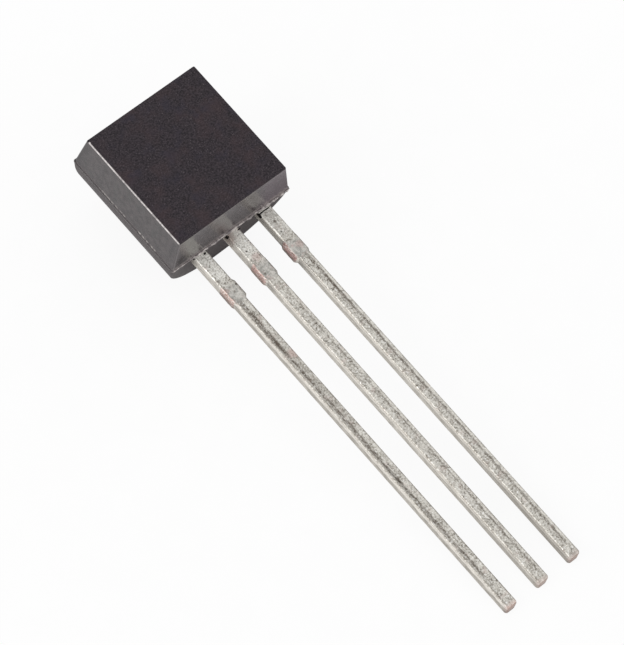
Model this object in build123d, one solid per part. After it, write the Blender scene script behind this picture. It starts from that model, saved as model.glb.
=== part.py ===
from build123d import *
from math import asin, atan2, cos, degrees, hypot, radians, sin, tan
import os

# A TO-92 transistor at rest on a table with its flat face up, in millimetres.
#
# It is built square to its lead frame and then tipped to the pose in which it rests.
# While it is built, X runs across the width from the emitter to the collector, the leads
# point along -Y, and +Z points out of the flat face. Z = 0 is the front face of the lead
# frame, on which the mould parts, and Y = 0 is the lead end of the moulding there.

# Moulding
body_width = 4.64
body_height = 4.69
front_depth = 1.43
front_side_draft = 8.0
front_end_draft = 5.5
front_top_draft = 7.5
back_end_draft = 7.3
back_overhang = 0.02
corner_radius = 0.05
flat_edge_radius = 0.04
back_edge_radius = 0.05
flash_width = 0.03
flash_thickness = 0.04

# Leads outside the moulding
lead_pitch = 1.27
lead_length = 14.37
strip_thickness = 0.40
neck_width = 0.475
shank_width = 0.405
dam_bar_start = 1.24
dam_bar_height = 0.74
shear_slope = 0.10
emitter_stubs = (0.005, 0.05)
base_stubs = (0.02, 0.015)
collector_stubs = (0.05, 0.01)
rolled_edge_radius = 0.07
tip_corner_radius = 0.10

# Lead frame inside the moulding
frame_gap = 0.22
notch_start = 0.45
notch_height = 0.30
notch_depth = 0.10
emitter_post_width = 0.78
emitter_post_start = 2.05
emitter_post_end = 3.35
base_post_width = 0.86
base_post_start = 1.00
base_post_end = 1.55
paddle_end_wall = 0.55
frame_corner_radius = 0.06

# Chip and its bonds
die_size = 0.52
die_thickness = 0.22
die_bond_thickness = 0.03
die_bond_margin = 0.06
pad_inset = 0.12
wire_diameter = 0.038
ball_diameter = 0.095
ball_height = 0.030
ball_edge = 0.010
loop_height = 0.24
loop_shoulder = 0.07
stitch_length = 0.12
stitch_sink = 0.008
emitter_stitch_inset = 0.20

# Places that several pieces share
half_width = body_width / 2
half_neck = neck_width / 2
back_radius = half_width + back_overhang
notch_end = notch_start + notch_height
emitter_x = -lead_pitch
collector_x = lead_pitch
paddle_left = emitter_x + emitter_post_width / 2 + frame_gap
paddle_right = collector_x + half_neck
paddle_start = base_post_end + frame_gap
paddle_end = body_height - paddle_end_wall
die_x = (paddle_left + paddle_right) / 2
die_y = (paddle_start + paddle_end) / 2
die_top = die_bond_thickness + die_thickness


def front_half():
    """The flat side of the moulding: a block drafted on all four sides, with softened edges."""
    side_lean = front_depth * tan(radians(front_side_draft))
    end_lean = front_depth * tan(radians(front_end_draft))
    top_lean = front_depth * tan(radians(front_top_draft))
    across = Polyline(
        (-half_width, 0),
        (half_width, 0),
        (half_width - side_lean, front_depth),
        (side_lean - half_width, front_depth),
        close=True,
    )
    along = Polyline(
        (0, 0),
        (body_height, 0),
        (body_height - top_lean, front_depth),
        (end_lean, front_depth),
        close=True,
    )
    sides = extrude(Plane.XZ * make_face(across), amount=-body_height)
    ends = extrude(Plane.YZ * make_face(along), amount=half_width, both=True)
    block = sides & ends
    flat_edges = block.faces().sort_by(Axis.Z)[-1].edges()
    base_edges = block.faces().sort_by(Axis.Z)[0].edges()
    corners = block.edges() - flat_edges - base_edges
    block = fillet(corners, corner_radius)
    flat_edges = block.faces().sort_by(Axis.Z)[-1].edges()
    return fillet(flat_edges, flat_edge_radius)


def back_half():
    """The round side of the moulding: a half cylinder with drafted ends and softened edges."""
    lean = back_radius * tan(radians(back_end_draft))
    across = make_face([CenterArc((0, 0), back_radius, 180, 180), Line((-back_radius, 0), (back_radius, 0))])
    along = Polyline(
        (0, 0),
        (body_height, 0),
        (body_height - lean, -back_radius),
        (lean, -back_radius),
        close=True,
    )
    trough = extrude(Plane.XZ * across, amount=-body_height)
    ends = extrude(Plane.YZ * make_face(along), amount=back_radius, both=True)
    half = trough & ends
    top_edges = half.faces().sort_by(Axis.Z)[-1].edges()
    return fillet(half.edges() - top_edges, back_edge_radius)


def flash_rim():
    """The thin rim left all round where the mould parts."""
    outline = RectangleRounded(
        body_width + 2 * flash_width,
        body_height + 2 * flash_width,
        corner_radius + flash_width,
    )
    return extrude(Pos(0, body_height / 2) * outline, amount=flash_thickness / 2, both=True)


def lead_side(stub):
    """The plan of a lead's right side, from its tip up to the notch, past the cut dam bar.

    stub is how far the cut bar still stands out of the neck.
    """
    half_shank = shank_width / 2
    half_notch = half_neck - notch_depth
    bar_end = -dam_bar_start - dam_bar_height
    return [
        (half_shank, -lead_length),
        (half_shank, bar_end),
        (half_neck + stub, bar_end + shear_slope),
        (half_neck + stub, -dam_bar_start - shear_slope),
        (half_neck, -dam_bar_start),
        (half_neck, notch_start),
        (half_notch, notch_start),
        (half_notch, notch_end),
    ]


def stamp_lead(centre_x, stubs, frame_outline, rounded_from):
    """A lead stamped from strip, with its front edges rolled over by the stamping.

    stubs is what trimming left of the dam bar on the left and on the right. frame_outline is
    the plan inside the moulding, from the right of the neck round to its left and about the
    lead's centre line. Its corners are rounded from rounded_from inwards.
    """
    left_stub, right_stub = stubs
    left = [(-x, y) for x, y in reversed(lead_side(left_stub))]
    plan = make_face(Polyline(*lead_side(right_stub), *frame_outline, *left, close=True))
    lead = extrude(plan, amount=-strip_thickness)
    corners = lead.edges().filter_by(Axis.Z).filter_by_position(Axis.Y, rounded_from, body_height)
    lead = fillet(corners, frame_corner_radius)
    tip_corners = lead.edges().filter_by(Axis.Z).group_by(Axis.Y)[0]
    lead = fillet(tip_corners, tip_corner_radius)
    front_edges = lead.edges().group_by(Axis.Z)[-1]
    outer_edges = front_edges.filter_by_position(Axis.Y, tip_corner_radius - lead_length, 0)
    lead = fillet(outer_edges, rolled_edge_radius)
    return Pos(centre_x, 0) * lead


def post_outline(width, start, end):
    """The plan of a lead whose inner end widens to a bond post."""
    half = width / 2
    right = [(half_neck, notch_end), (half_neck, start), (half, start), (half, end)]
    return right + [(-x, y) for x, y in reversed(right)]


def paddle_outline():
    """The plan of the lead whose inner end widens to the paddle under the chip."""
    left = paddle_left - collector_x
    return [
        (half_neck, notch_end),
        (half_neck, paddle_end),
        (left, paddle_end),
        (left, paddle_start),
        (-half_neck, paddle_start),
        (-half_neck, notch_end),
    ]


def bond_wire(pad, stitch):
    """A gold wire from the ball on a chip pad, over its loop, to the stitch on a post."""
    radius = wire_diameter / 2
    ball = Cylinder(ball_diameter / 2, ball_height)
    ball = chamfer(ball.edges().filter_by(GeomType.CIRCLE), ball_edge)
    start = Vector(*pad, die_top + ball_height / 2)
    top = Vector(*pad, die_top + loop_height)
    end = Vector(*stitch, radius - stitch_sink)
    flat_run = (Vector(*pad) - Vector(*stitch)).normalized() * stitch_length
    landing = end + flat_run
    down = (landing - top).normalized()
    path = Polyline(start, top - Vector(0, 0, loop_shoulder), top + down * loop_shoulder, landing, end)
    section = Plane(origin=start, z_dir=Vector(0, 0, 1)) * Circle(radius)
    return Pos(*start) * ball + sweep(section, path=path, transition=Transition.RIGHT)


emitter_lead = stamp_lead(
    emitter_x,
    emitter_stubs,
    post_outline(emitter_post_width, emitter_post_start, emitter_post_end),
    emitter_post_start,
)
base_lead = stamp_lead(
    0,
    base_stubs,
    post_outline(base_post_width, base_post_start, base_post_end),
    base_post_start,
)
collector_lead = stamp_lead(collector_x, collector_stubs, paddle_outline(), paddle_start)

die_bond_size = die_size + 2 * die_bond_margin
die_bond = extrude(Pos(die_x, die_y) * Rectangle(die_bond_size, die_bond_size), amount=die_bond_thickness)
silicon_die = extrude(
    Pos(die_x, die_y, die_bond_thickness) * Rectangle(die_size, die_size),
    amount=die_thickness,
)

emitter_stitch_x = emitter_x + emitter_post_width / 2 - emitter_stitch_inset
base_stitch_y = (base_post_start + base_post_end) / 2
emitter_wire = bond_wire((die_x - pad_inset, die_y + pad_inset), (emitter_stitch_x, die_y)) - emitter_lead
base_wire = bond_wire((die_x - pad_inset, die_y - pad_inset), (0, base_stitch_y)) - base_lead

inserts = [
    emitter_lead,
    base_lead,
    collector_lead,
    die_bond,
    silicon_die,
    emitter_wire,
    base_wire,
]
epoxy_body = front_half() + flash_rim() + back_half()
for insert in inserts:
    epoxy_body = epoxy_body - insert

pieces = {
    "epoxy_body": epoxy_body,
    "emitter_lead": emitter_lead,
    "base_lead": base_lead,
    "collector_lead": collector_lead,
    "silicon_die": silicon_die,
    "die_bond": die_bond,
    "emitter_wire": emitter_wire,
    "base_wire": base_wire,
}

# It rests on the lead tips and on the lead end of its round back. The line that touches
# both runs from the back corner of a tip, below the rounded edge of the moulding.
edge_z = back_edge_radius - back_radius
edge_y = -edge_z * tan(radians(back_end_draft)) + back_edge_radius / cos(radians(back_end_draft))
reach = hypot(edge_y + lead_length, edge_z + strip_thickness)
rest_tilt = asin(back_edge_radius / reach) - atan2(edge_z + strip_thickness, edge_y + lead_length)
tipped = {name: Rot(degrees(rest_tilt), 0, 0) * solid for name, solid in pieces.items()}

# The origin is on the table, under the middle of the part's length.
box = Compound(list(tipped.values())).bounding_box()
rest = Pos(0, -box.center().Y, lead_length * sin(rest_tilt) + strip_thickness * cos(rest_tilt))

os.makedirs("parts", exist_ok=True)
for name, solid in tipped.items():
    placed = rest * solid
    export_step(placed, f"parts/{name}.step")
    print(name, round(placed.volume, 5), placed.is_valid, len(placed.solids()))
print("tilt", round(degrees(rest_tilt), 3), "box", box.size)
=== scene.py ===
"""A TO-92 transistor that lies flat side up on a pale table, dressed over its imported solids."""

import logging
import math
import random
from dataclasses import dataclass, replace
from enum import StrEnum
from typing import Callable

import bmesh
import bpy
from mathutils import Matrix, Vector, noise


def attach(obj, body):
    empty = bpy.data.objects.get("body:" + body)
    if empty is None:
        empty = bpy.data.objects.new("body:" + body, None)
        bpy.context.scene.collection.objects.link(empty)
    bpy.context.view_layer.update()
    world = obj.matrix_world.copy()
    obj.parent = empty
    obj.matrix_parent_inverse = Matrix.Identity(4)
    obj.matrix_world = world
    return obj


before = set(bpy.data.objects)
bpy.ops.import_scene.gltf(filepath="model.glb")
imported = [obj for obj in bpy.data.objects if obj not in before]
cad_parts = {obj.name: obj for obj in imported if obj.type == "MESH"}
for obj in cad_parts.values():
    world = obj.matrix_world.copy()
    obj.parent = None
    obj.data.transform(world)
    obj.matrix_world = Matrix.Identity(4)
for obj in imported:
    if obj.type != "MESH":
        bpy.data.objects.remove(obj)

LOG = logging.getLogger("transistor")
MM = 0.001
TO_MM = (1 / MM, 1 / MM, 1 / MM)
RESIN_INDEX = 1.52
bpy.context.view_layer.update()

Socket = bpy.types.NodeSocket
Outputs = bpy.types.NodeOutputs
Material = bpy.types.Material
Shape = bmesh.types.BMesh
Pair = tuple[float, float]
Triple = tuple[float, float, float]
Stance = tuple[Vector, Vector, float]
Walk = Callable[[float], Stance]


def linear(code: str) -> tuple[float, float, float, float]:
    """Turns a screen colour into the linear colour that shaders take.

    Args:
        code: Six hexadecimal digits, red first.

    Returns:
        Linear red, green, blue and an alpha of one.
    """
    parts = [int(code[i:i + 2], 16) / 255 for i in (0, 2, 4)]
    red, green, blue = (p / 12.92 if p <= 0.04045 else ((p + 0.055) / 1.055) ** 2.4 for p in parts)
    return red, green, blue, 1.0


def metres(*lengths: float) -> list[float]:
    """Returns lengths in metres that are given in millimetres."""
    return [length * MM for length in lengths]


@dataclass(frozen=True)
class PartSpace:
    """The part's own axes in millimetres: X along the row of leads, Y from tips to case, Z out of the flat.

    Z is zero at the parting plane, which is the leads' front face, and Y is zero where they leave the case.
    """

    tilt: float = math.radians(7.51274)
    offset: Triple = (0.0, 4.7780, 2.2754)

    def to_row(self) -> Matrix:
        """Returns the matrix from the part's millimetres to the row's metres."""
        return Matrix.Scale(MM, 4) @ Matrix.Translation(self.offset) @ Matrix.Rotation(self.tilt, 4, "X")

    def shift(self) -> Vector:
        """Returns what a Mapping node adds, once it has scaled and turned a row point."""
        return -(Matrix.Rotation(-self.tilt, 3, "X") @ Vector(self.offset))


@dataclass(frozen=True)
class CaseSizes:
    """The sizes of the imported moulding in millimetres, for its shapes and its finish."""

    half_width: float = 2.32
    half_flat: float = 2.119
    flat_start: float = 0.138
    flat_end: float = 4.502
    front_depth: float = 1.43
    body_height: float = 4.69
    end_slope: float = 0.0963


@dataclass(frozen=True)
class LeadSizes:
    """The sizes of a packed lead in millimetres, for its shapes and its finish."""

    half_neck: float = 0.2375
    half_shank: float = 0.2025
    bar_start: float = -1.24
    bar_end: float = -1.98
    lead_length: float = 14.37
    strip_thickness: float = 0.40


class Graph:
    """The nodes of one tree, with a short call for each kind that the scene uses."""

    def __init__(self, tree: bpy.types.NodeTree) -> None:
        """Starts on a tree, such as a material's or the world's."""
        self.tree = tree

    def feed(self, socket: Socket, value: object) -> None:
        """Links a socket into another, or sets it to a plain value.

        Args:
            socket: The input socket.
            value: An output socket, a number, a vector or a colour.
        """
        if isinstance(value, Socket):
            self.tree.links.new(value, socket)
        else:
            socket.default_value = value

    def node(self, kind: str, inputs: dict[str | int, object] | None = None, **settings: object) -> Outputs:
        """Adds a node and feeds it.

        Args:
            kind: The node's type.
            inputs: What goes into it, by the name or number of the input.
            settings: Its properties, by name.

        Returns:
            The node's outputs.
        """
        made = self.tree.nodes.new(kind)
        for key, value in settings.items():
            setattr(made, key, value)
        for key, value in (inputs or {}).items():
            self.feed(made.inputs[key], value)
        return made.outputs

    def place(self) -> Socket:
        """Returns the surface point in the row's metres."""
        return self.node("ShaderNodeTexCoord")["Object"]

    def split(self, vector: Socket) -> tuple[Socket, ...]:
        """Returns the X, Y and Z of a vector."""
        return tuple(self.node("ShaderNodeSeparateXYZ", {0: vector}))

    def math(self, operation: str, *values: object) -> Socket:
        """Combines numbers from left to right, or works on a single one.

        Args:
            operation: The Math node's operation.
            values: Sockets or numbers.

        Returns:
            The result's socket.
        """
        result = values[0]
        for value in values[1:] or (0.0,):
            result = self.node("ShaderNodeMath", {0: result, 1: value}, operation=operation)[0]
        return result

    def times(self, *factors: object) -> Socket:
        """Returns the product of sockets and numbers."""
        return self.math("MULTIPLY", *factors)

    def plus(self, *terms: object) -> Socket:
        """Returns the sum of sockets and numbers."""
        return self.math("ADD", *terms)

    def minus(self, first: object, second: object) -> Socket:
        """Returns the difference of two sockets or numbers."""
        return self.math("SUBTRACT", first, second)

    def most(self, *values: object) -> Socket:
        """Returns the greatest of sockets and numbers."""
        return self.math("MAXIMUM", *values)

    def magnitude(self, value: Socket) -> Socket:
        """Returns a number without its sign."""
        return self.math("ABSOLUTE", value)

    def swing(self, value: Socket, reach: float) -> Socket:
        """Returns a noise value as a shift to either side, by half the reach at most."""
        return self.times(self.minus(value, 0.5), reach)

    def ramp(self, value: object, low: float, high: float, bottom: object = 0.0, top: object = 1.0) -> Socket:
        """Returns what goes smoothly from bottom to top while a value goes from low to high."""
        inputs = {"Value": value, "From Min": low, "From Max": high, "To Min": bottom, "To Max": top}
        return self.node("ShaderNodeMapRange", inputs, interpolation_type="SMOOTHSTEP")["Result"]

    def fall(self, value: object, low: float, high: float) -> Socket:
        """Returns a mask that goes from one at low to zero at high."""
        return self.ramp(value, low, high, 1.0, 0.0)

    def level(self, mask: Socket, outside: float, inside: float) -> Socket:
        """Returns a number that goes from its level outside a mask to its level inside."""
        return self.ramp(mask, 0.0, 1.0, outside, inside)

    def window(self, value: object, low: float, high: float, soft: float) -> Socket:
        """Returns a mask that is one from low to high, with edges as wide as soft."""
        half = soft / 2
        return self.times(self.ramp(value, low - half, low + half), self.fall(value, high - half, high + half))

    def noise(self, vector: Socket, scale: float, detail: float, rough: float) -> Socket:
        """Returns noise of scale clouds to the unit, in detail octaves with rough as the finer ones' weight."""
        inputs = {"Vector": vector, "Scale": scale, "Detail": detail, "Roughness": rough}
        return self.node("ShaderNodeTexNoise", inputs)["Fac"]

    def mapping(self, vector: Socket, scale: Triple, move: Triple = (0, 0, 0), turn: Triple = (0, 0, 0)) -> Socket:
        """Returns a vector scaled, then turned about each axis, in radians, and then moved."""
        inputs = {"Vector": vector, "Scale": scale, "Rotation": turn, "Location": move}
        return self.node("ShaderNodeMapping", inputs)["Vector"]

    def distance(self, vector: Socket, centre: Triple) -> Socket:
        """Returns how far a point is from a centre in the same units."""
        return self.node("ShaderNodeVectorMath", {0: vector, 1: centre}, operation="DISTANCE")["Value"]

    def blend(self, factor: object, first: object, second: object) -> Socket:
        """Returns a mix of two colours, each a socket or six digits, with factor as the weight of the second."""
        first, second = (linear(colour) if isinstance(colour, str) else colour for colour in (first, second))
        # The node's colours are its inputs 6 and 7 and its output 2, beside those of its other data types.
        return self.node("ShaderNodeMix", {0: factor, 6: first, 7: second}, data_type="RGBA")[2]

    def layers(self, colour: object, *layers: tuple[object, object]) -> Socket:
        """Lays colours over a colour.

        Args:
            colour: The lowest colour.
            layers: The mask and the colour of each layer, from the lowest to the highest.

        Returns:
            The colour's socket.
        """
        for mask, layer in layers:
            colour = self.blend(mask, colour, layer)
        return colour

    def glow(self, strength: object) -> Socket:
        """Returns a shader of white light."""
        return self.node("ShaderNodeEmission", {"Strength": strength})["Emission"]

    def mix(self, factor: Socket, first: Socket, second: Socket) -> Socket:
        """Returns a mix of two shaders, with factor as the weight of the second."""
        return self.node("ShaderNodeMixShader", {0: factor, 1: first, 2: second})["Shader"]


class Paint(Graph):
    """The nodes of one material."""

    def __init__(self, name: str) -> None:
        """Starts a material.

        Args:
            name: The material's name.
        """
        self.material = bpy.data.materials.new(name)
        self.material.use_nodes = True
        super().__init__(self.material.node_tree)
        self.shader = self.tree.nodes["Principled BSDF"]

    def bump(self, height: Socket, depth: float, **under: Socket) -> Socket:
        """Returns the normal over a relief of some millimetres, on the Normal of a coarser one if it is given."""
        inputs = {"Strength": 1.0, "Distance": depth * MM, "Height": height, **under}
        return self.node("ShaderNodeBump", inputs)["Normal"]

    def finish(self, colour: Socket, **inputs: object) -> Material:
        """Connects the shader.

        Args:
            colour: The base colour.
            inputs: The shader's other inputs as sockets or numbers, with underscores for spaces.

        Returns:
            The material.
        """
        self.feed(self.shader.inputs["Base Color"], colour)
        for key, value in inputs.items():
            self.feed(self.shader.inputs[key.replace("_", " ")], value)
        return self.material


class Surface(Paint):
    """A material that reads the surface in the part's own millimetres.

    A finish sets slow and fine, the two noises that all its colours share.
    """

    slow: Socket
    fine: Socket

    def __init__(self, name: str, centre: Triple = (0, 0, 0)) -> None:
        """Starts a material and reads the surface point.

        Args:
            name: The material's name.
            centre: The part point that becomes the origin.
        """
        super().__init__(name)
        space = PartSpace()
        self.point = self.mapping(self.place(), TO_MM, space.shift() - Vector(centre), (-space.tilt, 0, 0))
        self.x, self.y, self.z = self.split(self.point)

    def clouds(self, scale: float, detail: float = 3.0, rough: float = 0.6,
               stretch: Triple = (1, 1, 1), move: Triple = (0, 0, 0)) -> Socket:
        """Returns noise over the surface, stretched along the axes and moved to another part of the pattern."""
        return self.noise(self.mapping(self.point, stretch, move), scale, detail, rough)

    def seams(self, scale: float, stretch: Triple, move: Triple) -> Socket:
        """Returns the distance to the nearest seam of a pattern with scale crystals to the millimetre."""
        inputs = {"Vector": self.mapping(self.point, stretch, move), "Scale": scale}
        return self.node("ShaderNodeTexVoronoi", inputs, feature="DISTANCE_TO_EDGE")["Distance"]

    def spot(self, centre: Triple, radius: float, ragged: object = 0.0) -> Socket:
        """Returns a round mask that ends at a radius, frayed by what is added to the distance."""
        return self.fall(self.plus(self.distance(self.point, centre), ragged), radius * 0.45, radius)


class Resin(StrEnum):
    """The colours of the moulding compound, from the flat round to the back."""

    FLAT_DARK = "1a161a"
    FLAT_LIGHT = "3d363b"
    FLAT_SPECK = "5f575b"
    FLAT_BROWN = "423436"
    FLAT_BLUE = "2f2c38"
    WORN_EDGE_HIGHLIGHT = "ded8d6"
    WALL_DARK = "322c2e"
    WALL_LIGHT = "4b4445"
    WALL_COOL = "3d4340"
    WALL_FAR = "231f20"
    FOOT_PAINTED_LIGHT = "6a6566"
    FOOT_DASH = "b3aeaa"
    END_DARK = "4e4849"
    END_LIGHT = "5c5657"
    END_EDGE_HIGHLIGHT = "7b7473"
    LEAD_REFLECTION = "6d6c65"
    SMUDGE = "2b2726"
    END_MAUVE = "6e6069"
    CRUST = "978f8d"
    SPECK = "6d6768"
    RIM = "a39a97"
    BACK_DARK = "494445"
    BACK_LIGHT = "5b5657"
    BACK_CLOUD = "615b5b"


@dataclass(frozen=True)
class MouldingFinish(CaseSizes):
    """Black moulding compound: a fine matt flat, satin drafted sides and a duller half-round back.

    Roughness and gloss are for the polished and for the matt parts, and relief is for the slow and the fine noise.
    Places, heights and runs are in the part's millimetres.
    """

    roughness: Pair = (0.19, 0.55)
    gloss: Pair = (0.55, 0.2)
    relief: Pair = (0.0015, 0.003)
    grain: Pair = (0.34, 0.66)
    foot_height: Pair = (0.016, 0.095)
    rim_height: Pair = (-0.022, 0.024)
    near_dashes: Pair = (0.85, 1.65)
    far_dashes: Pair = (2.2, 3.55)
    end_highlight: Pair = (1.345, 1.392)
    lead_reflection_run: Pair = (-1.60, -1.20)
    lead_reflection_lean: float = 0.27
    smudge_place: Triple = (-1.90, 0.03, 0.33)
    smudge_radius: float = 0.34

    def material(self) -> Material:
        """Paints the moulding.

        Returns:
            The material.
        """
        s = Surface("moulding_compound")
        s.slow = s.ramp(s.clouds(5.0, detail=4.0, rough=0.65, move=(7, 0, 0)), 0.3, 0.7)
        s.fine = s.clouds(19.0, rough=0.72)
        behind = s.fall(s.z, -0.03, -0.01)
        on_flat = s.ramp(s.z, self.front_depth - 0.036, self.front_depth - 0.02)
        inward = s.minus(s.y, s.times(s.z, self.end_slope))
        at_end = s.times(s.fall(inward, 0.012, 0.03), s.minus(1.0, on_flat))
        speck = s.ramp(s.clouds(27.0, detail=1.0, rough=0.5), 0.66, 0.76)
        back = s.blend(s.ramp(s.fine, *self.grain), Resin.BACK_DARK, Resin.BACK_LIGHT)
        colour = s.layers(
            self.wall(s),
            (at_end, self.end(s)),
            (s.times(speck, 0.35), Resin.SPECK),
            (behind, s.blend(s.times(s.slow, 0.5), back, Resin.BACK_CLOUD)),
            (self.rim(s), Resin.RIM),
            (on_flat, self.flat(s, speck)),
        )
        dull = s.most(on_flat, behind, self.painted_light_foot(s))
        rough = s.plus(s.level(dull, *self.roughness), s.times(s.fine, 0.08))
        rough = s.minus(rough, s.times(at_end, s.minus(1.0, behind), 0.07))
        gloss = s.plus(s.level(dull, *self.gloss), s.times(at_end, 0.3))
        gloss = s.times(gloss, s.minus(1.0, s.times(at_end, self.smudge(s), 0.55)))
        coarse, fine = self.relief
        normal = s.bump(s.fine, fine, Normal=s.bump(s.slow, coarse))
        return s.finish(colour, Roughness=rough, Normal=normal, Specular_IOR_Level=gloss, IOR=RESIN_INDEX)

    def flat(self, s: Surface, speck: Socket) -> Socket:
        """Colours the flat: near black with a fine grain, slow brown and blue clouds and a worn left edge with a
        painted highlight.

        Args:
            s: The surface.
            speck: The mask of the pale filler grains.

        Returns:
            The colour's socket.
        """
        brown = s.clouds(1.1, move=(3, 5, 0))
        blue = s.clouds(1.4, move=(11, 2, 0))
        return s.layers(
            Resin.FLAT_DARK,
            (s.ramp(s.fine, *self.grain), Resin.FLAT_LIGHT),
            (s.times(speck, 0.8), Resin.FLAT_SPECK),
            (s.ramp(brown, 0.46, 0.68, top=0.45), Resin.FLAT_BROWN),
            (s.ramp(blue, 0.5, 0.7, top=0.4), Resin.FLAT_BLUE),
            # Painted highlight along the worn emitter edge.
            (self.worn_edge_highlight(s), Resin.WORN_EDGE_HIGHLIGHT),
        )

    def worn_edge_highlight(self, s: Surface) -> Socket:
        """Masks the pale worn line along the flat's emitter edge, with its painted highlight and a painted bright dot
        at its far end.

        Args:
            s: The surface.

        Returns:
            The mask's socket.
        """
        line = s.fall(s.plus(s.x, self.half_flat), 0.018, 0.044)
        height = s.ramp(s.z, self.front_depth - 0.036, self.front_depth - 0.03)
        length = s.window(s.y, self.flat_start + 0.02, self.flat_end - 0.12, soft=0.06)
        beads = s.clouds(5.5, rough=0.75, stretch=(0.4, 1, 0.4))
        beads = s.ramp(beads, 0.3, 0.62, bottom=0.4)
        corner = s.spot((-self.half_flat + 0.01, self.flat_end - 0.12, self.front_depth), radius=0.05)
        return s.most(s.times(line, height, length, beads), s.times(corner, 0.95))

    def wall(self, s: Surface) -> Socket:
        """Colours the drafted sides: darker towards the far end, with painted light and pale flash dashes by the rim.

        Args:
            s: The surface.

        Returns:
            The colour's socket.
        """
        cool = s.clouds(1.8, stretch=(1, 1.2, 0.8), move=(0, 9, 0))
        near = s.window(s.y, *self.near_dashes, soft=0.1)
        far = s.times(s.window(s.y, *self.far_dashes, soft=0.3), 0.6)
        dashes = s.clouds(7.0, rough=0.8, stretch=(0.3, 1, 0.3), move=(0, 4, 0))
        dashed = s.times(s.ramp(dashes, 0.46, 0.56), s.most(near, far))
        return s.layers(
            Resin.WALL_DARK,
            (s.slow, Resin.WALL_LIGHT),
            (s.ramp(cool, 0.5, 0.68, top=0.25), Resin.WALL_COOL),
            (s.ramp(s.y, self.body_height - 0.5, self.body_height, top=0.75), Resin.WALL_FAR),
            # Painted light over the shade by the rim, broken by pale flash dashes.
            (self.painted_light_foot(s), s.blend(dashed, Resin.FOOT_PAINTED_LIGHT, Resin.FOOT_DASH)),
        )

    def painted_light_foot(self, s: Surface) -> Socket:
        """Masks the matt strip at the base of the long sides, inside the thin rim, which is painted light over its
        shade.

        Args:
            s: The surface.

        Returns:
            The mask's socket.
        """
        aside = s.magnitude(s.x)
        inside = s.fall(aside, self.half_width + 0.001, self.half_width + 0.005)
        beside = s.ramp(aside, self.half_width - 0.03, self.half_width - 0.02)
        along = s.fall(s.y, self.body_height - 0.14, self.body_height - 0.02)
        return s.times(s.window(s.z, *self.foot_height, soft=0.03), inside, beside, along)

    def end(self, s: Surface) -> Socket:
        """Colours the drafted lead end: a painted reflection of the emitter lead, a smudge and a painted upper-edge
        highlight.

        Args:
            s: The surface.

        Returns:
            The colour's socket.
        """
        cloud = s.clouds(6.0)
        lead_reflection = s.window(s.plus(s.x, s.times(s.z, self.lead_reflection_lean)), *self.lead_reflection_run, soft=0.16)
        crust = s.times(s.fall(s.z, 0.04, 0.2), s.ramp(s.x, 0.7, 1.5, 0.65, 0.85), s.ramp(s.fine, 0.36, 0.56, 0.3))
        return s.layers(
            Resin.END_DARK,
            (s.slow, Resin.END_LIGHT),
            # Painted highlight along the upper edge of the lead end.
            (s.times(s.window(s.z, *self.end_highlight, soft=0.02), s.ramp(cloud, 0.35, 0.6, 0.2, 0.6)), Resin.END_EDGE_HIGHLIGHT),
            # Painted reflection of the emitter lead, leaning across the lead end.
            (s.times(lead_reflection, s.ramp(s.z, 0.12, 0.4), s.ramp(cloud, 0.3, 0.6, 0.2, 0.5)), Resin.LEAD_REFLECTION),
            (s.times(self.smudge(s), 0.7), Resin.SMUDGE),
            (s.ramp(s.x, 0.9, 1.5, top=0.5), Resin.END_MAUVE),
            (crust, Resin.CRUST),
        )

    def smudge(self, s: Surface) -> Socket:
        """Returns the mask of the matt dark smudge beside the emitter lead."""
        return s.times(s.spot(self.smudge_place, self.smudge_radius), s.ramp(s.fine, 0.36, 0.6, bottom=0.35))

    def rim(self, s: Surface) -> Socket:
        """Masks the broken pale line along the thin rim on the parting plane.

        Args:
            s: The surface.

        Returns:
            The mask's socket.
        """
        beside = s.ramp(s.magnitude(s.x), self.half_width + 0.002, self.half_width + 0.008)
        below = s.fall(s.y, -0.006, -0.001)
        above = s.ramp(s.y, self.body_height + 0.001, self.body_height + 0.006)
        broken = s.ramp(s.clouds(6.0, detail=4.0, rough=0.75), 0.44, 0.6, 0.3, 0.95)
        line = s.times(s.window(s.z, *self.rim_height, soft=0.004), s.most(beside, below, above), broken)
        return s.times(line, s.level(below, 0.05, 1.0))


class Tone(StrEnum):
    """The colours of a lead: the bands of painted highlight and shade and the marks along it, then its tin, and then
    its bare copper.
    """

    DULL_SPOT_AND_SHADE = "675d54"
    DARK_SPOT_AND_SHADE = "3b342f"
    BROWN = "8a7268"
    GREY_SHADE = "a39e96"
    BLUSH = "cdb0aa"
    PALE_HIGHLIGHT = "e9e6df"
    BRIGHT_HIGHLIGHT = "fbf8f0"
    TIN_DARK = "cbc7be"
    TIN_LIGHT = "ebe8e0"
    TIN_GRIT = "675f57"
    TIN_GLINT = "ffffff"
    NECK_PAINTED_LIGHT = "f8f6ef"
    NECK_PAINTED_LIGHT_SIDE = "f8f3ea"
    BAR_DARK = "8d908d"
    BAR_LIGHT = "d4d0cb"
    FAR_SIDE = "8b847b"
    TORN = "8a837b"
    BURNISHED_HIGHLIGHT = "fffaf2"
    ROLLED_SHADE = "857e76"
    SHEAR_DARK = "75655e"
    SHEAR_LIGHT = "eee3dc"
    SHEAR_HIGHLIGHT_DASH = "f4ece6"
    CUT_TIP = "8f7468"


@dataclass(frozen=True)
class Band:
    """A band of painted highlight and shade along a lead's front face, in millimetres from its centre line and from
    the case.
    """

    tone: Tone
    across: float
    half: float
    start: float
    end: float
    weight: float
    broken: float = 0.5


@dataclass(frozen=True)
class Mark:
    """A small round mark on a lead, in millimetres from its centre line, from the case and below its face."""

    tone: Tone
    across: float
    along: float
    radius: float
    weight: float = 1.0
    below: float = 0.0


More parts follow.
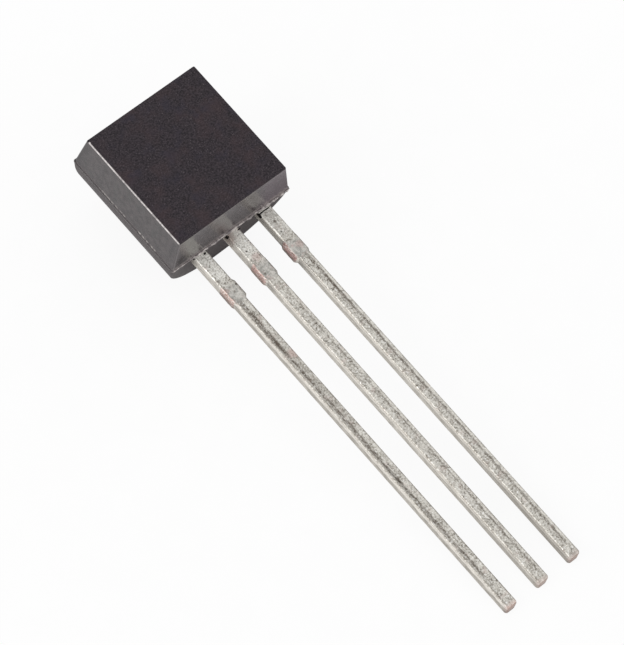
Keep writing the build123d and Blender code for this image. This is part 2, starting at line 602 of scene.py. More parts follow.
@dataclass(frozen=True, kw_only=True)
class TinFinish(LeadSizes):
    """Matt tin plate over stamped copper strip, bare where the dam bar and the tip were sheared.

    The stubs are what the cut left of the dam bar to the left and right, and seed picks the noise. Side is the
    colour range of the stamped sides, neck_side_light is how much painted light pales them near the case, and
    far_side is how much they dull near the tip. The rolled_shade pair is how much painted shade greys the left
    front edge along the shank and the neck, and patch holds the copper's colours from the back to the front.
    Heights are in the part's millimetres.
    """

    name: str
    lead_x: float
    seed: float
    stubs: Pair
    side: tuple[str, str]
    neck_side_light: float
    far_side: float
    burnish: float = 1.0
    rolled_shade: Pair
    patch: tuple[str, str, str]
    tip_weight: float = 0.4
    bands: tuple[Band, ...]
    marks: tuple[Mark, ...]
    neck_burnish: float = 0.45
    roughness: Pair = (0.36, 0.48)
    relief: Pair = (0.010, 0.006)
    face_height: Pair = (-0.05, -0.012)
    shine_height: Pair = (-0.115, 0.03)
    rolled_shade_height: Pair = (-0.072, -0.055)
    copper_heights: tuple[Pair, Pair] = ((-0.27, -0.2), (-0.12, -0.05))

    def material(self) -> Material:
        """Paints the lead.

        Returns:
            The material.
        """
        s = Surface(f"tin_plate_{self.name}", (self.lead_x, 0, 0))
        s.slow = s.clouds(5.5, stretch=(1, 0.6, 1), move=(self.seed, 0, 0))
        s.fine = s.clouds(16.0, rough=0.75, stretch=(1, 0.9, 1), move=(0, self.seed, 0))
        face = s.ramp(s.z, *self.face_height)
        bare = self.bare(s)
        base = self.rolled_shade_edges(s, s.blend(face, self.flank(s), self.front(s)))
        base = s.blend(bare, self.marked(s, self.banded(s, base, face)), self.copper(s))
        rough = s.plus(s.ramp(s.slow, 0.3, 0.7, *self.roughness), s.times(s.fine, 0.1))
        coarse, fine = self.relief
        normal = s.bump(s.fine, fine, Normal=s.bump(s.slow, coarse))
        return s.finish(base, Roughness=rough, Normal=normal, Metallic=s.level(bare, 1.0, 0.35))

    def front(self, s: Surface) -> Socket:
        """Colours the front face: pale crystals, dark grit between them, painted light near the case and a cooler,
        blotched dam bar.

        Args:
            s: The surface.

        Returns:
            The colour's socket.
        """
        bar = s.window(s.y, self.bar_end - 0.03, self.bar_start - 0.14, soft=0.14)
        neck = s.ramp(s.y, self.bar_start, self.bar_start + 0.3)
        crystals = s.seams(13.0, stretch=(1, 0.8, 1), move=(self.seed, 2.0, 0))
        cracks = s.times(s.fall(crystals, 0.02, 0.16), s.ramp(s.fine, 0.4, 0.58), 0.8)
        grit = s.times(s.most(cracks, s.ramp(s.fine, 0.53, 0.64)), s.ramp(s.slow, 0.36, 0.66, 1.0, 0.5))
        grit = s.times(grit, s.level(bar, 1.0, 0.9), s.level(neck, 1.0, 0.85))
        blotch = s.ramp(s.clouds(7.5, detail=4.0, rough=0.75, move=(0, self.seed, 7)), 0.38, 0.62)
        blush = s.ramp(s.clouds(4.0, detail=2.0, rough=0.5, move=(self.seed, self.seed, 0)), 0.54, 0.72, top=0.5)
        return s.layers(
            Tone.TIN_DARK,
            (s.ramp(s.slow, 0.32, 0.68), Tone.TIN_LIGHT),
            # Painted light near the case, over the case's shade on the neck.
            (neck, Tone.NECK_PAINTED_LIGHT),
            (grit, Tone.TIN_GRIT),
            (s.times(s.fall(s.fine, 0.34, 0.44), 0.9), Tone.TIN_GLINT),
            (s.times(bar, 0.6), s.blend(blotch, Tone.BAR_DARK, Tone.BAR_LIGHT)),
            (s.times(blush, s.level(bar, 0.4, 1.0)), Tone.BLUSH),
        )

    def flank(self, s: Surface) -> Socket:
        """Colours the stamped sides: a burnished band above with a painted highlight, a duller torn band below, and
        painted light near the case.

        Args:
            s: The surface.

        Returns:
            The colour's socket.
        """
        neck = s.ramp(s.y, self.bar_start - 0.1, self.bar_start + 0.2)
        torn = s.clouds(9.0, rough=0.7, stretch=(1, 0.25, 2.2), move=(0, 0, self.seed))
        shine = s.window(s.plus(s.z, s.times(s.slow, 0.08)), *self.shine_height, soft=0.05)
        shine = s.times(shine, s.ramp(torn, 0.36, 0.5, 1.0, 0.6), s.level(neck, self.burnish, self.neck_burnish))
        return s.layers(
            s.blend(s.ramp(s.slow, 0.3, 0.7), *self.side),
            # Painted light on the sides near the case.
            (s.times(neck, self.neck_side_light), Tone.NECK_PAINTED_LIGHT_SIDE),
            (s.ramp(s.y, -13.5, -8.0, bottom=self.far_side, top=0.0), Tone.FAR_SIDE),
            (s.ramp(torn, 0.5, 0.66, top=0.55), Tone.TORN),
            # Painted highlight on the burnished band.
            (s.times(shine, s.ramp(s.y, -13.0, -9.0, bottom=1.0 - self.far_side)), Tone.BURNISHED_HIGHLIGHT),
        )

    def rolled_shade_edges(self, s: Surface, base: Socket) -> Socket:
        """Paints shade on the two front edges that the stamping rounded over.

        Args:
            s: The surface.
            base: The colour so far.

        Returns:
            The colour's socket.
        """
        half = s.ramp(s.y, self.bar_end, self.bar_end + 0.1, self.half_shank, self.half_neck)
        upper = s.ramp(s.z, *self.rolled_shade_height)
        weight = s.ramp(s.y, self.bar_end - 0.1, self.bar_end + 0.1, *self.rolled_shade)
        left = s.times(s.window(s.plus(s.x, half), 0.025, 0.085, soft=0.03), upper, weight)
        right = s.times(s.fall(s.minus(half, s.x), 0.01, 0.07), upper, s.ramp(s.fine, 0.4, 0.55, 0.1, 0.5))
        # Painted shade on both curved front edges.
        return s.layers(base, (left, Tone.ROLLED_SHADE), (right, Tone.ROLLED_SHADE))

    def banded(self, s: Surface, base: Socket, face: Socket) -> Socket:
        """Lays the bands of painted highlight and shade along the front face over a colour.

        Args:
            s: The surface.
            base: The colour so far.
            face: The front face's mask.

        Returns:
            The colour's socket.
        """
        across = s.plus(s.x, s.swing(s.slow, 0.09))
        gaps = s.clouds(7.0, detail=4.0, rough=0.7, stretch=(2.2, 0.45, 1), move=(self.seed, 0, 0))
        grains = s.clouds(15.0, rough=0.75, stretch=(1, 0.8, 1), move=(0, 0, self.seed))
        grainy = s.times(face, s.ramp(grains, 0.38, 0.54, bottom=0.2))
        for band in self.bands:
            line = s.fall(s.magnitude(s.minus(across, band.across)), band.half * 0.45, band.half * 1.25)
            length = s.window(s.y, -band.end, -band.start, soft=min(0.8, (band.end - band.start) / 3))
            broken = s.ramp(gaps, 0.36, 0.56, bottom=1.0 - band.broken)
            # Each band paints highlight and shade along the face, by its tone.
            base = s.blend(s.times(line, length, broken, grainy, band.weight), base, band.tone)
        return base

    def marked(self, s: Surface, base: Socket) -> Socket:
        """Lays the marks over a colour; the bright ones are painted highlights.

        Args:
            s: The surface.
            base: The colour so far.

        Returns:
            The colour's socket.
        """
        for mark in self.marks:
            ragged = s.swing(s.fine, mark.radius * 3)
            spot = s.spot((mark.across, -mark.along, -mark.below), mark.radius, ragged)
            base = s.blend(s.times(spot, mark.weight), base, mark.tone)
        return base

    def copper(self, s: Surface) -> Socket:
        """Colours the bare copper in three bands from the back to the front, with fine shear lines and painted
        highlight dashes.

        Args:
            s: The surface.

        Returns:
            The colour's socket.
        """
        lines = s.clouds(11.0, detail=4.0, rough=0.7, stretch=(1, 0.5, 2.4), move=(self.seed, 0, 0))
        height = s.plus(s.z, s.swing(lines, 0.22))
        back, middle, front = self.patch
        middle_height, front_height = self.copper_heights
        cut = s.fall(s.y, 0.02 - self.lead_length, 0.05 - self.lead_length)
        return s.layers(
            back,
            (s.ramp(height, *middle_height), middle),
            (s.ramp(height, *front_height), front),
            (s.ramp(lines, 0.52, 0.62, top=0.7), Tone.SHEAR_DARK),
            (s.times(s.fall(lines, 0.38, 0.47), 0.65), Tone.SHEAR_LIGHT),
            # Painted highlight dashes on the sheared copper.
            (s.times(s.ramp(height, -0.17, -0.12), s.ramp(s.fine, 0.5, 0.58), 0.7), Tone.SHEAR_HIGHLIGHT_DASH),
            (s.times(cut, 0.75), Tone.CUT_TIP),
        )

    def bare(self, s: Surface) -> Socket:
        """Masks the bare copper: the sheared ends of the dam bar and the rim of the cut tip.

        Args:
            s: The surface.

        Returns:
            The mask's socket.
        """
        left, right = (self.half_neck + stub for stub in self.stubs)
        ragged = s.swing(s.slow, 0.12)
        near_side = s.ramp(s.plus(s.x, ragged), 0.06 - left, 0.035 - left)
        far_side = s.times(s.ramp(s.x, right - 0.008, right - 0.003), s.ramp(s.z, -0.06, -0.1))
        bar = s.window(s.plus(s.y, ragged), self.bar_end + 0.05, self.bar_start - 0.04, soft=0.03)
        edge = s.plus(s.y, s.times(ragged, 1.2))
        tip = s.ramp(edge, 0.03 - self.lead_length, 0.20 - self.lead_length, self.tip_weight, 0.0)
        cut = s.times(s.fall(s.y, 0.012 - self.lead_length, 0.035 - self.lead_length), 0.8)
        return s.most(s.times(s.most(near_side, far_side), bar), tip, cut)


@dataclass(frozen=True, kw_only=True)
class PlainFinish:
    """A finish of one noise, which runs between two colours and raises the relief, in millimetres."""

    name: str
    dark: str
    light: str
    scale: float
    detail: float = 2.0
    rough: float = 0.5
    share: Pair | None = None
    relief: float = 0.0
    roughness: float
    metallic: float = 0.0
    gloss: float = 0.5
    index: float = 1.5

    def material(self) -> Material:
        """Paints the piece.

        Returns:
            The material.
        """
        s = Surface(self.name)
        cloud = s.clouds(self.scale, self.detail, self.rough)
        colour = s.blend(s.ramp(cloud, *self.share) if self.share else cloud, self.dark, self.light)
        inputs = {"Roughness": self.roughness, "Metallic": self.metallic}
        if self.relief:
            inputs["Normal"] = s.bump(cloud, self.relief)
        return s.finish(colour, Specular_IOR_Level=self.gloss, IOR=self.index, **inputs)


SILICON = PlainFinish(name="polished_silicon", dark="3b3f4a", light="565b66", scale=30.0, roughness=0.2, metallic=0.6)
GLUE = PlainFinish(
    name="silver_glue", dark="a8a8a6", light="d0d0cc", scale=40.0, detail=3.0, relief=0.004,
    roughness=0.6, metallic=0.7,
)
GOLD = PlainFinish(
    name="gold_wire", dark="d9a441", light="f0c869", scale=50.0, relief=0.001, roughness=0.25, metallic=1.0,
)
# Near-black lumps painted as the shade in the gaps where the leads leave the case.
GAP_SHADE = PlainFinish(name="gap_shade_finish", dark="0c0a0a", light="221e1d", scale=30.0, roughness=0.9, gloss=0.1)
# Thin resin flash is paler than the moulding, because light passes through it.
SIDE_FLASH = PlainFinish(
    name="resin_flash_side", dark="645e5f", light="a39d9b", scale=9.0, detail=3.0, rough=0.7, share=(0.60, 0.70),
    relief=0.006, roughness=0.4, index=RESIN_INDEX,
)
END_FLASH = replace(SIDE_FLASH, name="resin_flash_end", dark="7c7475", light="cfc7c4", share=(0.42, 0.62))


@dataclass(frozen=True)
class TableFinish:
    """A pale seamless table that the camera sees as white, with the part's soft shadow.

    Polished surfaces see it glow, with a painted shadow where the case stands over it, and bright elsewhere. The
    painted shadow's limits along X and Y and its soft edge are in the row's millimetres, and its left edge leans
    by left_lean from lean_y.
    """

    near_white: float = 0.90
    white_range: Pair = (6, 30)
    sheen: Pair = (0.86, 0.10)
    sheen_weight: float = 0.8
    painted_shadow_y: Pair = (3.35, 9.0)
    painted_shadow_left: Pair = (-2.7, -1.1)
    painted_shadow_right: Pair = (3.6, 4.8)
    painted_shadow_soft: float = 0.6
    left_lean: float = 0.8
    lean_y: float = 4.0

    def material(self) -> Material:
        """Paints the table.

        Returns:
            The material.
        """
        g = Paint("pale_table")
        place = g.place()
        fibre = g.noise(g.mapping(place, TO_MM), scale=0.8, detail=3.0, rough=0.5)
        g.finish(g.blend(g.ramp(fibre, 0.3, 0.7), "eeeeee", "f4f4f4"), Roughness=0.9, Specular_IOR_Level=0.0)
        x, y, _ = g.split(place)
        leaning = g.minus(x, g.times(g.minus(y, self.lean_y * MM), self.left_lean))
        along = g.window(y, *metres(*self.painted_shadow_y, self.painted_shadow_soft))
        # Painted shadow in what glossy rays see, where the case stands over the table.
        under = g.times(along, g.ramp(leaning, *metres(*self.painted_shadow_left)), g.fall(x, *metres(*self.painted_shadow_right)))
        path = g.node("ShaderNodeLightPath")
        sheen = g.glow(g.level(under, *self.sheen))
        mirror = g.mix(g.times(path["Is Glossy Ray"], self.sheen_weight), g.shader.outputs["BSDF"], sheen)
        white = g.ramp(g.distance(place, (0, 0, 0)), *metres(*self.white_range), bottom=self.near_white)
        seen = g.mix(g.times(path["Is Camera Ray"], white), mirror, g.glow(1.0))
        g.feed(g.tree.nodes["Material Output"].inputs["Surface"], seen)
        return g.material


def add_piece(name: str, shape: Shape, material: Material) -> None:
    """Turns a shape in the part's millimetres into a piece of the part.

    Args:
        name: The piece's name.
        shape: The shape, which is freed.
        material: Its finish.
    """
    bmesh.ops.transform(shape, matrix=PartSpace().to_row(), verts=shape.verts)
    bmesh.ops.recalc_face_normals(shape, faces=shape.faces)
    mesh = bpy.data.meshes.new(name)
    shape.to_mesh(mesh)
    shape.free()
    mesh.materials.append(material)
    for polygon in mesh.polygons:
        polygon.use_smooth = True
    piece = bpy.data.objects.new(name, mesh)
    bpy.context.collection.objects.link(piece)
    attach(piece, "root")
    LOG.info("%s: %d faces", name, len(mesh.polygons))


def dress(node: str, material: Material) -> None:
    """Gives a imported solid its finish.

    Args:
        node: The solid's name.
        material: The finish.
    """
    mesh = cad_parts[node].data
    mesh.materials.clear()
    mesh.materials.append(material)
    LOG.info("%s dressed in %s", node, material.name)


@dataclass(frozen=True)
class RaggedLip:
    """A thin ragged lip along a walk, such as resin flash or the burr of a cut, in the part's millimetres.

    The walk gives a point on the surface, the direction out of it and the reach there, by share of its length.
    The lip's width is about full, and at least least, times the reach. The waves are so many to the millimetre.
    """

    walk: Walk
    thickness: float
    steps: int
    seed: float
    sunk: float = 0.004
    lift: float = 0.0
    waviness: float = 0.3
    full: float = 0.74
    least: float = 0.3
    rough_waves: float = 5.0
    chip_waves: float = 11.0
    ripple_waves: float = 14.0

    def shape(self) -> Shape:
        """Makes the closed lip.

        Returns:
            The shape.
        """
        shape = bmesh.new()
        bmesh.ops.create_grid(shape, x_segments=self.steps, y_segments=2, size=0.5)
        for vert in shape.verts:
            share, row = vert.co.x + 0.5, vert.co.y + 0.5
            place, out, reach = self.walk(share)
            rough = noise.fractal((place + Vector((self.seed, 0, 0))) * self.rough_waves, 0.6, 2.0, 4)
            chip = noise.noise((place + Vector((0, self.seed, 0))) * self.chip_waves)
            width = reach * min(1.0, max(self.least, self.full + self.waviness * (rough + 0.4 * chip)))
            ripple = 0.3 * self.thickness * noise.noise((place + Vector((0, 0, self.seed))) * self.ripple_waves)
            vert.co = place + out * (width * row - self.sunk) + Vector((0, 0, self.lift + ripple * row))
        bmesh.ops.solidify(shape, geom=shape.faces[:], thickness=self.thickness)
        return shape


@dataclass(frozen=True)
class Moulding(CaseSizes):
    """The black case, with the flash along its parting line and dark lumps of painted shade where the leads come out.

    Sizes are in the part's millimetres. The end flash's reaches each have their place across the case, and each
    lump of painted shade has its centre and its half sizes.
    """

    flash_thickness: float = 0.026
    flash_lift: float = 0.023
    flash_steps: int = 760
    side_reach: float = 0.028
    side_seed: float = 5.0
    end_seed: float = 17.0
    end_overrun: float = 0.01
    end_reaches: tuple[Pair, ...] = (
        (-2.33, 0.045), (-1.75, 0.050), (-1.35, 0.075), (0.9, 0.080), (1.5, 0.098), (2.2, 0.090), (2.33, 0.050),
    )
    gap_shades: tuple[tuple[Triple, Triple], ...] = (
        ((-1.530, -0.070, -0.020), (0.026, 0.022, 0.024)),
        ((-1.150, -0.115, 0.008), (0.044, 0.030, 0.018)),
        ((-0.255, -0.105, -0.012), (0.050, 0.048, 0.040)),
        ((0.210, -0.125, 0.006), (0.044, 0.022, 0.018)),
        ((1.010, -0.150, -0.050), (0.030, 0.090, 0.050)),
        ((1.270, -0.118, 0.002), (0.215, 0.018, 0.010)),
        ((1.090, -0.125, 0.006), (0.080, 0.026, 0.016)),
    )
    gap_shade_waves: float = 28.0
    gap_shade_roughness: float = 0.75

    def build(self) -> None:
        """Builds the flash and the painted shade at the lead exits, and dresses the solid."""
        lips = {
            "side": (self.side_walk, self.side_seed, SIDE_FLASH),
            "end": (self.end_walk, self.end_seed, END_FLASH),
        }
        for name, (walk, seed, finish) in lips.items():
            lip = RaggedLip(walk, self.flash_thickness, self.flash_steps, seed, lift=self.flash_lift)
            add_piece(f"{name}_flash", lip.shape(), finish.material())
        # Painted shade at the lead exits.
        add_piece("exit_gap_shades", self.gap_shade_shape(), GAP_SHADE.material())
        dress("epoxy_body", MouldingFinish().material())

    def side_walk(self, share: float) -> Stance:
        """Walks from the emitter side's lead end round the far end to the collector side's.

        Args:
            share: How far along the walk, from zero to one.

        Returns:
            The point on the wall, the direction out of it and the flash's reach.
        """
        side, end = self.body_height, 2 * self.half_width
        along = share * (2 * side + end)
        if along < side:
            return Vector((-self.half_width, along, 0)), Vector((-1, 0, 0)), self.side_reach
        if along < side + end:
            return Vector((along - side - self.half_width, side, 0)), Vector((0, 1, 0)), self.side_reach
        return Vector((self.half_width, 2 * side + end - along, 0)), Vector((1, 0, 0)), self.side_reach

    def end_walk(self, share: float) -> Stance:
        """Walks along the lead end, where the flash widens past the emitter and again past the collector.

        Args:
            share: How far along the walk, from zero to one.

        Returns:
            The point on the wall, the direction out of it and the flash's reach.
        """
        x = (2 * share - 1) * (self.half_width + self.end_overrun)
        reach = self.end_reaches[-1][1]
        for (start, low), (stop, high) in zip(self.end_reaches, self.end_reaches[1:]):
            if start <= x <= stop:
                reach = low + (high - low) * (x - start) / (stop - start)
        return Vector((x, 0, 0)), Vector((0, -1, 0)), reach

    def gap_shade_shape(self) -> Shape:
        """Makes the painted shade at the lead exits as one shape of rough dark lumps, half sunk at the leads'
        corners.

        Returns:
            The shape.
        """
        shape = bmesh.new()
        for number, (place, half_sizes) in enumerate(self.gap_shades):
            centre = Vector(place)
            turn = Matrix.Translation(centre) @ Matrix.Diagonal((*half_sizes, 1.0))
            made = bmesh.ops.create_icosphere(shape, subdivisions=3, radius=1.0, matrix=turn)
            for vert in made["verts"]:
                push = noise.noise((vert.co + Vector((number, 0, 0))) * self.gap_shade_waves)
                vert.co += (vert.co - centre) * self.gap_shade_roughness * push
        return shape


@dataclass(frozen=True)
class Lead:
    """One stamped lead, with the burrs left by the dam bar's shears and lumps in its tin.

    Sizes are in the part's millimetres. The lumps' pairs are the ranges from which they are drawn. One lump in
    side_share lies on the left side, at lump_depth, and the others lie on the front face.
    """

    finish: TinFinish
    burr_thickness: float = 0.018
    burr_reach: float = 0.024
    burr_least: float = 0.004
    burr_start: float = -1.37
    burr_end: float = -1.85
    burr_inset: float = 0.01
    burr_steps: int = 60
    burr_waviness: float = 0.5
    lumps: int = 46
    side_share: int = 4
    lump_start: float = 2.2
    lump_margin: float = 0.3
    lump_size: Pair = (0.014, 0.030)
    lump_flatness: Pair = (0.22, 0.4)
    lump_length: Pair = (1.0, 1.8)
    lump_across: Pair = (-0.11, 0.15)
    lump_depth: Pair = (0.1, 0.32)

    def build(self) -> None:
        """Builds the burrs and the lumps in the lead's own finish, and dresses its solid."""
        tin = self.finish
        material = tin.material()
        for name, sign, stub in zip(("left", "right"), (-1, 1), tin.stubs):
            lip = RaggedLip(
                self.burr_walk(sign, stub), self.burr_thickness, self.burr_steps, tin.seed + sign,
                sunk=self.burr_inset, waviness=self.burr_waviness,
            )
            add_piece(f"{tin.name}_{name}_burr", lip.shape(), material)
        add_piece(f"{tin.name}_tin_lumps", self.lump_shape(), material)
        dress(f"{tin.name}_lead", material)

    def burr_walk(self, sign: int, stub: float) -> Walk:
        """Gives the walk of the burr on the back edge of a cut stub.

        Args:
            sign: Minus one on the emitter side, one on the collector side.
            stub: How far the stub stands out of the neck.

        Returns:
            The walk, for a ragged lip.
        """
        x = self.finish.lead_x + sign * (self.finish.half_neck + stub - self.burr_inset)

        def walk(share: float) -> Stance:
            """Walks along the back edge of the stub.

            Args:
                share: How far along the walk, from zero to one.

            Returns:
                The point on the edge, the direction out of the back and the burr's reach.
            """
            reach = self.burr_reach * min(1.0, 6 * share, 6 * (1 - share)) + self.burr_least
            along = self.burr_start + (self.burr_end - self.burr_start) * share
            return Vector((x, along, -self.finish.strip_thickness)), Vector((0, 0, -1)), reach

        return walk

    def lump_shape(self) -> Shape:
        """Scatters small flat lumps of tin over the front face and the left side.

        Returns:
            The lumps as one shape.
        """
        tin = self.finish
        draw = random.Random(int(tin.seed * 10))
        shape = bmesh.new()
        for number in range(self.lumps):
            along = -draw.uniform(self.lump_start, tin.lead_length - self.lump_margin)
            size = draw.uniform(*self.lump_size)
            flat = draw.uniform(*self.lump_flatness)
            if number % self.side_share:
                centre = Vector((tin.lead_x + draw.uniform(*self.lump_across), along, 0.0))
                scale = (size, size * draw.uniform(*self.lump_length), size * flat, 1.0)
            else:
                centre = Vector((tin.lead_x - tin.half_shank, along, -draw.uniform(*self.lump_depth)))
                scale = (size * flat, size * draw.uniform(*self.lump_length), size, 1.0)
            turn = Matrix.Translation(centre) @ Matrix.Diagonal(scale)
            bmesh.ops.create_icosphere(shape, subdivisions=2, radius=1.0, matrix=turn)
        return shape


@dataclass(frozen=True)
class ChipAndBonds:
    """The chip on its glue, and the two gold wires to the posts, all inside the case."""

    wires: tuple[str, ...] = ("emitter_wire", "base_wire")

    def build(self) -> None:
        """Gives the hidden solids their finishes."""
        dress("silicon_die", SILICON.material())
        dress("die_bond", GLUE.material())
        gold = GOLD.material()
        for wire in self.wires:
            dress(wire, gold)


@dataclass(frozen=True)
class Lamp:
    """A rectangular soft lamp that faces the part, with its place and size in millimetres.

    Level is how bright it looks, where one is white.
    """

    name: str
    place: Triple
    size: Pair
    level: float

    def build(self) -> None:
        """Makes the lamp."""
        light = bpy.data.lights.new(self.name, "AREA")
        light.shape = "RECTANGLE"
        light.size, light.size_y = metres(*self.size)
        light.energy = self.level * math.pi * light.size * light.size_y
        thing = bpy.data.objects.new(self.name, light)
        thing.location = Vector(self.place) * MM
        thing.rotation_euler = (-Vector(self.place)).to_track_quat("-Z", "Y").to_euler()
        bpy.context.collection.objects.link(thing)


@dataclass(frozen=True)
class Studio:
    """The table, the soft lamps, the white room and the camera, in the row's millimetres.

    The room's levels are its brightness and that of its shade, which lies low down on the side of shade_way.
    Where the shade begins and is full is measured on a sphere of radius one.
    """

    floor_radius: float = 400.0
    camera_place: Triple = (-40.369, -38.661, 100.067)
    camera_aim: Triple = (-0.186, 0.832, 2.115)
    camera_roll: float = math.radians(4.848)
    camera_lens: float = 210.15
    sensor_width: float = 36.0
    camera_reach: Pair = (1, 2000)
    room_levels: Pair = (0.84, 0.15)
    shade_way: Pair = (0.78, 0.62)
    shade_along: Pair = (0.3, 0.75)
    shade_under: Pair = (0.10, 0.45)
    lamps: tuple[Lamp, ...] = (
        Lamp("left_softbox", (-160, 32, 120), (110, 110), 2.4),
        Lamp("front_fill", (50, -190, 90), (120, 60), 1.6),
    )

    def build(self) -> None:
        """Makes the table, the room, the lamps and the camera."""
        self.table()
        self.room()
        for lamp in self.lamps:
            lamp.build()
        self.camera()

    def table(self) -> None:
        """Makes the table's round top."""
        shape = bmesh.new()
        bmesh.ops.create_circle(shape, cap_ends=True, segments=96, radius=self.floor_radius * MM)
        mesh = bpy.data.meshes.new("table_top")
        shape.to_mesh(mesh)
        shape.free()
        mesh.materials.append(TableFinish().material())
        top = bpy.data.objects.new("table_top", mesh)
        bpy.context.collection.objects.link(top)

    def room(self) -> None:
        """Makes the world: white to the camera, and an even soft grey to the part, darker low on the far right."""
        world = bpy.data.worlds.new("white_room")
        world.use_nodes = True
        bpy.context.scene.world = world
        g = Graph(world.node_tree)
        x, y, z = g.split(g.place())
        way_x, way_y = self.shade_way
        along = g.ramp(g.plus(g.times(x, way_x), g.times(y, way_y)), *self.shade_along)
        shade = g.times(g.fall(z, *self.shade_under), along)
        seen = g.node("ShaderNodeLightPath")["Is Camera Ray"]
        background = g.tree.nodes["Background"]
        g.feed(background.inputs["Strength"], g.most(g.level(shade, *self.room_levels), seen))
        g.feed(background.inputs["Color"], (1, 1, 1, 1))

    def camera(self) -> None:
        """Makes the camera at the photograph's viewing angle."""
        lens = bpy.data.cameras.new("camera")
        lens.lens = self.camera_lens
        lens.sensor_width = self.sensor_width
        lens.clip_start, lens.clip_end = metres(*self.camera_reach)
        thing = bpy.data.objects.new("camera", lens)
        place, aim = Vector(self.camera_place), Vector(self.camera_aim)
        look = (aim - place).to_track_quat("-Z", "Y").to_matrix().to_4x4()
        thing.matrix_world = Matrix.Translation(place * MM) @ look @ Matrix.Rotation(self.camera_roll, 4, "Z")
        bpy.context.collection.objects.link(thing)
        bpy.context.scene.camera = thing


# The left lead has a broad streak of painted shade and the pinkest tip.
EMITTER_TIN = TinFinish(
    name="emitter",
    lead_x=-1.27,
    seed=3.1,
    stubs=(0.005, 0.05),
    side=("b5b0a7", "d6d1c9"),
    neck_side_light=0.25,
    far_side=0.0,
    rolled_shade=(0.25, 0.2),
    # The front copper colour is painted lighter, as a highlight.
    patch=("84736c", "b5968b", "cdafa4"),
    tip_weight=0.85,
    bands=(
        Band(Tone.GREY_SHADE, -0.18, 0.04, 2.0, 14.2, 0.6),
        Band(Tone.DULL_SPOT_AND_SHADE, -0.068, 0.078, 2.0, 4.0, 1.0),
        Band(Tone.DULL_SPOT_AND_SHADE, -0.060, 0.056, 3.6, 7.6, 0.95),
        Band(Tone.GREY_SHADE, 0.05, 0.100, 3.3, 7.0, 0.35),
        Band(Tone.DULL_SPOT_AND_SHADE, -0.078, 0.054, 7.4, 11.2, 0.9),
        Band(Tone.DARK_SPOT_AND_SHADE, -0.080, 0.024, 8.5, 9.9, 0.6),
        Band(Tone.DULL_SPOT_AND_SHADE, -0.070, 0.046, 11.0, 13.2, 0.85),
        Band(Tone.PALE_HIGHLIGHT, 0.06, 0.180, 1.3, 1.95, 0.35, 0.3),
        Band(Tone.PALE_HIGHLIGHT, 0.12, 0.05, 7.4, 11.0, 0.4),
        Band(Tone.DULL_SPOT_AND_SHADE, -0.20, 0.03, 1.30, 1.95, 0.75, 0.2),
    ),
    marks=(
        Mark(Tone.DARK_SPOT_AND_SHADE, 0.22, 1.47, 0.035),
        Mark(Tone.DULL_SPOT_AND_SHADE, 0.02, 1.63, 0.05, 0.6),
        Mark(Tone.DULL_SPOT_AND_SHADE, -0.01, 1.44, 0.05, 0.5),
        Mark(Tone.DULL_SPOT_AND_SHADE, -0.05, 0.55, 0.04, 0.7),
        Mark(Tone.DULL_SPOT_AND_SHADE, -0.15, 1.08, 0.07, 0.6),
        Mark(Tone.BLUSH, 0.13, 4.25, 0.22, 0.5),
        Mark(Tone.DARK_SPOT_AND_SHADE, 0.02, 8.72, 0.035, 0.7),
    ),
)
# The middle lead is the most even of the three.
BASE_TIN = TinFinish(
    name="base",
    lead_x=0.0,
    seed=11.7,
    stubs=(0.02, 0.015),
    side=("c6c1b8", "dfdbd3"),
    neck_side_light=0.85,
    far_side=0.3,
    rolled_shade=(0.15, 0.25),
    patch=("a8968e", "cda79e", "cba9a0"),
    bands=(
        Band(Tone.DULL_SPOT_AND_SHADE, 0.06, 0.022, 2.3, 3.8, 0.4),
        Band(Tone.DULL_SPOT_AND_SHADE, 0.05, 0.028, 3.6, 7.6, 0.5),
        Band(Tone.DULL_SPOT_AND_SHADE, 0.065, 0.030, 7.2, 11.2, 0.6),
        Band(Tone.GREY_SHADE, -0.04, 0.060, 8.0, 9.4, 0.35),
        Band(Tone.DULL_SPOT_AND_SHADE, 0.055, 0.032, 11.0, 13.9, 0.7),
        Band(Tone.BRIGHT_HIGHLIGHT, 0.14, 0.05, 2.4, 14.2, 0.35),
        Band(Tone.PALE_HIGHLIGHT, -0.10, 0.07, 7.0, 11.5, 0.4),
        Band(Tone.GREY_SHADE, -0.185, 0.035, 2.0, 14.0, 0.25),
    ),
    marks=(
        Mark(Tone.DARK_SPOT_AND_SHADE, -0.09, 0.836, 0.042),
        Mark(Tone.DULL_SPOT_AND_SHADE, -0.12, 1.745, 0.045, 0.8),
        Mark(Tone.BRIGHT_HIGHLIGHT, -0.14, 1.05, 0.07, 0.8),
        Mark(Tone.BLUSH, 0.04, 1.16, 0.20, 0.38),
        Mark(Tone.BROWN, -0.2375, 0.15, 0.34, 0.6, 0.12),
        Mark(Tone.DULL_SPOT_AND_SHADE, 0.02, 12.55, 0.06, 0.7),
    ),
)
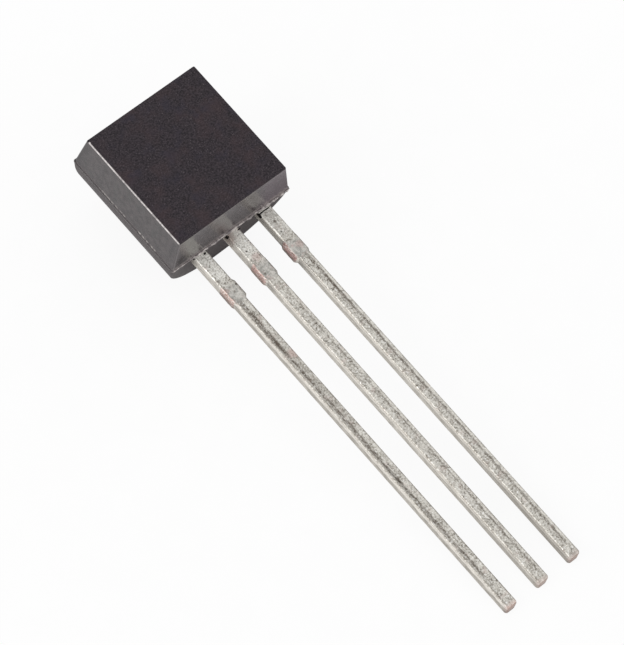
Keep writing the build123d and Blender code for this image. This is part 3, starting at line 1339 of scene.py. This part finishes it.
# The right lead has painted shade along its middle, and is browner where it was sheared.
COLLECTOR_TIN = TinFinish(
    name="collector",
    lead_x=1.27,
    seed=23.9,
    stubs=(0.05, 0.01),
    side=("c3beb5", "dcd8d0"),
    neck_side_light=1.0,
    far_side=0.5,
    burnish=0.9,
    rolled_shade=(0.1, 0.1),
    patch=("8f7d76", "cba19c", "b2948d"),
    bands=(
        Band(Tone.DULL_SPOT_AND_SHADE, 0.045, 0.058, 2.0, 3.9, 1.0),
        Band(Tone.DULL_SPOT_AND_SHADE, 0.050, 0.045, 3.7, 7.5, 0.85),
        Band(Tone.DULL_SPOT_AND_SHADE, 0.050, 0.042, 7.3, 11.2, 0.75),
        Band(Tone.DULL_SPOT_AND_SHADE, 0.058, 0.044, 11.0, 13.8, 0.75),
        Band(Tone.BRIGHT_HIGHLIGHT, 0.14, 0.06, 2.2, 14.2, 0.5),
        Band(Tone.GREY_SHADE, -0.185, 0.035, 2.0, 14.0, 0.2),
        Band(Tone.DARK_SPOT_AND_SHADE, -0.165, 0.018, 2.0, 2.6, 0.7),
        Band(Tone.GREY_SHADE, 0.0, 0.20, 0.1, 1.2, 0.55),
    ),
    marks=(
        Mark(Tone.DARK_SPOT_AND_SHADE, -0.087, 0.97, 0.042, 0.8),
        Mark(Tone.DULL_SPOT_AND_SHADE, -0.02, 0.59, 0.06, 0.8),
        Mark(Tone.BLUSH, 0.10, 1.62, 0.16, 0.42),
        Mark(Tone.DULL_SPOT_AND_SHADE, 0.02, 12.75, 0.06, 0.6),
    ),
)


@dataclass(frozen=True)
class Transistor:
    """The whole part, built piece by piece."""

    moulding: Moulding = Moulding()
    leads: tuple[Lead, ...] = (Lead(EMITTER_TIN), Lead(BASE_TIN), Lead(COLLECTOR_TIN))
    chip: ChipAndBonds = ChipAndBonds()

    def build(self) -> None:
        """Builds and dresses every piece."""
        for assembly in (self.moulding, *self.leads, self.chip):
            assembly.build()


def main() -> None:
    """Builds the scene."""
    logging.basicConfig(level=logging.INFO, format="%(message)s")
    bpy.context.scene.view_settings.view_transform = "Standard"
    Studio().build()
    Transistor().build()


if __name__ == "__main__":
    main()
